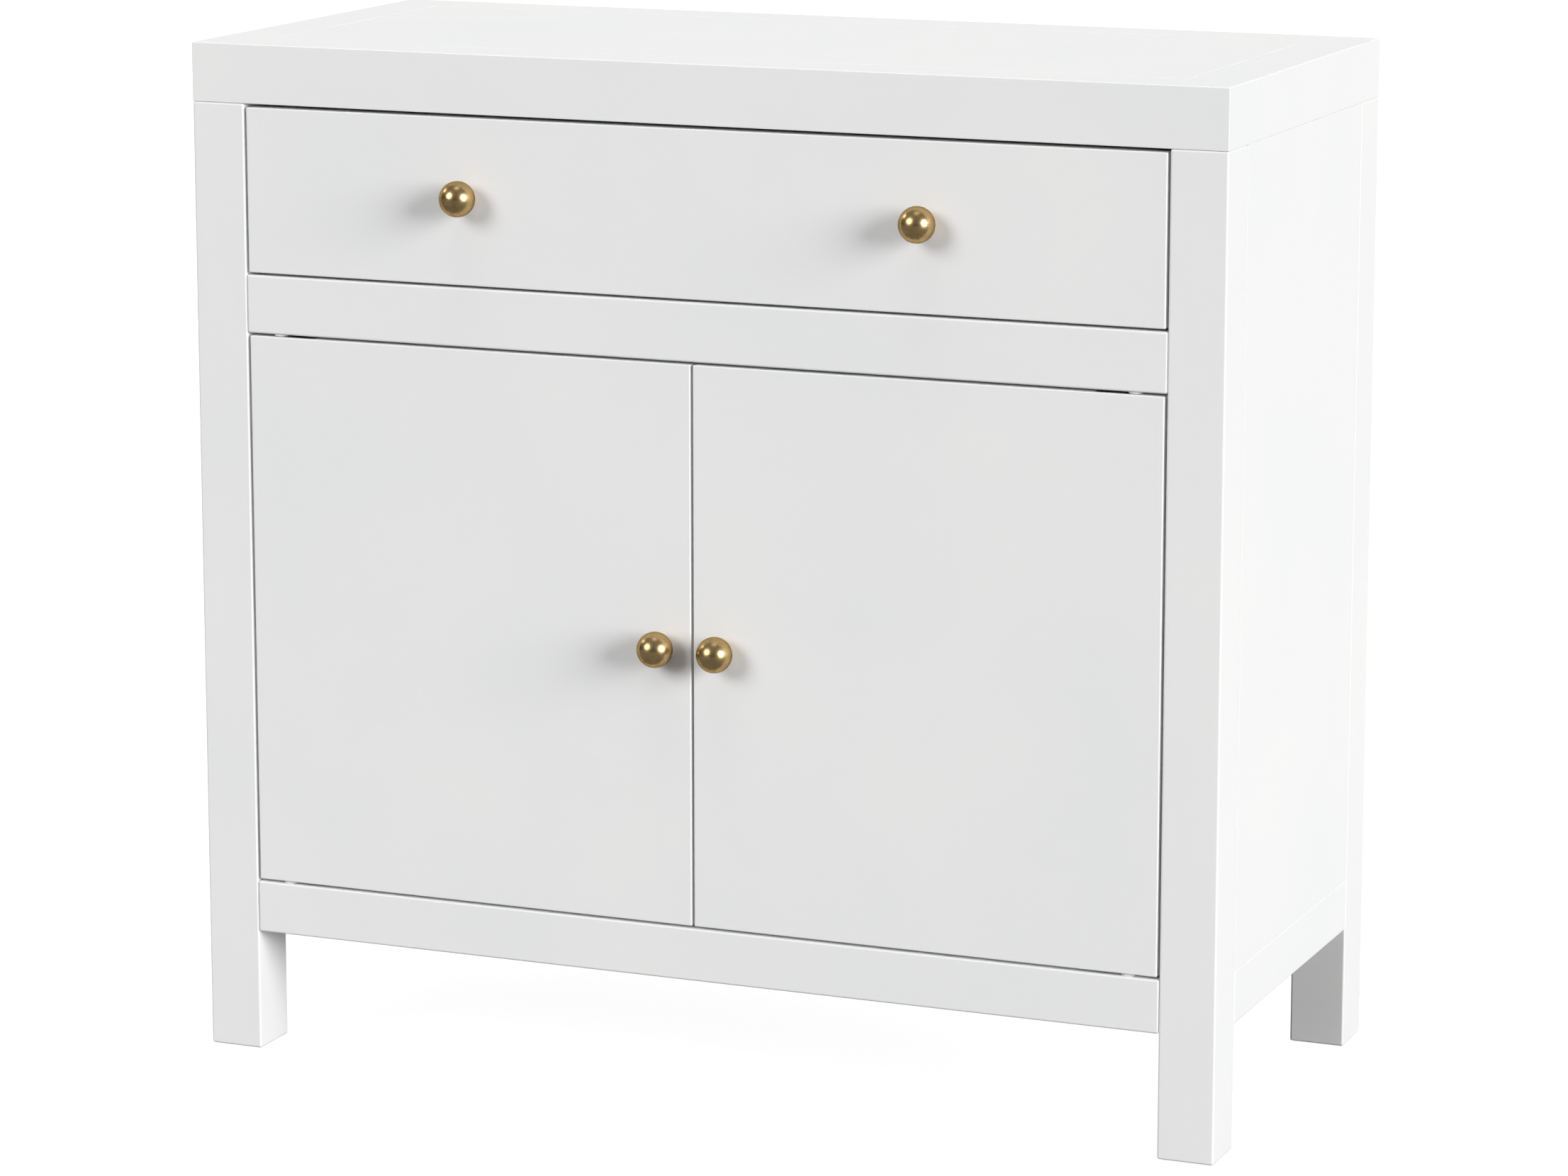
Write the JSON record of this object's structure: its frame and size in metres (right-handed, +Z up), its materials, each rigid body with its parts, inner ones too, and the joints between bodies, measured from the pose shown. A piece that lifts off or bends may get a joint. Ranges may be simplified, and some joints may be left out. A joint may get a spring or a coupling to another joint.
{
  "type": "apothecary cabinet",
  "caption": "Low white lacquered cabinet on square legs with a drawer on ball runners above a two-door cupboard with a shelf, and round brass ball knobs.",
  "frame": {"origin": "on the floor, at the centre of the cabinet's width and midway between the knob tips and the back", "axes": "+X to the right as seen from the front, -Y out of the front, +Z up"},
  "size_m": [0.914, 0.445, 0.874],
  "materials": {
    "white_lacquer": "satin white lacquer over wood and fibreboard",
    "melamine": "matt white melamine board",
    "birch_ply": "clear-lacquered birch plywood",
    "hardboard": "white-faced hardboard, brown at the edges",
    "beech": "planed beech",
    "zinc_steel": "bright zinc plate",
    "ball_steel": "pressed steel strip with polished balls",
    "black_plastic": "moulded black plastic",
    "white_nylon": "moulded white nylon",
    "brass": "satin-polished brass"
  },
  "bodies": {
    "cabinet": {"top_rail_front": "white_lacquer", "top_rail_back": "white_lacquer", "top_rail_left": "white_lacquer", "top_rail_right": "white_lacquer", "top_panel": "white_lacquer", "leg_front_left": "white_lacquer", "leg_front_right": "white_lacquer", "leg_back_left": "white_lacquer", "leg_back_right": "white_lacquer", "foot_glides": "black_plastic", "side_panel_left": "white_lacquer", "side_panel_right": "white_lacquer", "side_rail_left": "white_lacquer", "side_rail_right": "white_lacquer", "mid_rail": "white_lacquer", "bottom_rail": "white_lacquer", "back_top_rail": "white_lacquer", "back_bottom_rail": "white_lacquer", "back_panel": "hardboard", "bottom_panel": "melamine", "divider_panel": "melamine", "top_cleat_left": "beech", "top_cleat_right": "beech", "runner_cleat_left": "beech", "runner_cleat_right": "beech", "dowels": "beech", "cabinet_screws": "zinc_steel", "shelf": "melamine", "shelf_pins": "zinc_steel", "pivot_bushes": "white_nylon", "door_catches": "black_plastic", "runner_outer_left": "zinc_steel", "runner_outer_right": "zinc_steel"},
    "drawer": {"drawer_front": "white_lacquer", "drawer_box_front": "birch_ply", "drawer_side_left": "birch_ply", "drawer_side_right": "birch_ply", "drawer_back": "birch_ply", "drawer_bottom": "birch_ply", "drawer_knob_left": "brass", "drawer_knob_right": "brass", "drawer_screws": "zinc_steel", "runner_inner_left": "zinc_steel", "runner_inner_right": "zinc_steel"},
    "outer_balls_left": {"outer_cage_left": "ball_steel"},
    "middle_runner_left": {"runner_middle_left": "zinc_steel"},
    "inner_balls_left": {"inner_cage_left": "ball_steel"},
    "left_door": {"door_left": "white_lacquer", "door_knob_left": "brass", "door_pivots_left": "zinc_steel", "strike_left": "zinc_steel", "door_screws_left": "zinc_steel"},
    "outer_balls_right": {"outer_cage_right": "ball_steel"},
    "middle_runner_right": {"runner_middle_right": "zinc_steel"},
    "inner_balls_right": {"inner_cage_right": "ball_steel"},
    "right_door": {"door_right": "white_lacquer", "door_knob_right": "brass", "door_pivots_right": "zinc_steel", "strike_right": "zinc_steel", "door_screws_right": "zinc_steel"}
  },
  "joints": [
    {"name": "drawer_slide", "type": "slide", "parent": "cabinet", "child": "drawer", "axis": [0, -1, 0], "range_m": [0, 0.34]},
    {"name": "outer_balls_left_slide", "type": "slide", "parent": "cabinet", "child": "outer_balls_left", "axis": [0, -1, 0], "range_m": [0, 0.085]},
    {"name": "middle_runner_left_slide", "type": "slide", "parent": "cabinet", "child": "middle_runner_left", "axis": [0, -1, 0], "range_m": [0, 0.17]},
    {"name": "inner_balls_left_slide", "type": "slide", "parent": "cabinet", "child": "inner_balls_left", "axis": [0, -1, 0], "range_m": [0, 0.255]},
    {"name": "outer_balls_right_slide", "type": "slide", "parent": "cabinet", "child": "outer_balls_right", "axis": [0, -1, 0], "range_m": [0, 0.085]},
    {"name": "middle_runner_right_slide", "type": "slide", "parent": "cabinet", "child": "middle_runner_right", "axis": [0, -1, 0], "range_m": [0, 0.17]},
    {"name": "inner_balls_right_slide", "type": "slide", "parent": "cabinet", "child": "inner_balls_right", "axis": [0, -1, 0], "range_m": [0, 0.255]},
    {"name": "left_door_hinge", "type": "hinge", "parent": "cabinet", "child": "left_door", "pos_m": [-0.3808, -0.1835, 0.153], "axis": [0, 0, -1], "range_deg": [0, 110]},
    {"name": "right_door_hinge", "type": "hinge", "parent": "cabinet", "child": "right_door", "pos_m": [0.3808, -0.1835, 0.153], "axis": [0, 0, 1], "range_deg": [0, 110]}
  ],
  "couplings": [
    {"joint": "outer_balls_left_slide", "follows": "drawer_slide", "ratio": 0.25},
    {"joint": "middle_runner_left_slide", "follows": "drawer_slide", "ratio": 0.5},
    {"joint": "inner_balls_left_slide", "follows": "drawer_slide", "ratio": 0.75},
    {"joint": "outer_balls_right_slide", "follows": "drawer_slide", "ratio": 0.25},
    {"joint": "middle_runner_right_slide", "follows": "drawer_slide", "ratio": 0.5},
    {"joint": "inner_balls_right_slide", "follows": "drawer_slide", "ratio": 0.75}
  ]
}
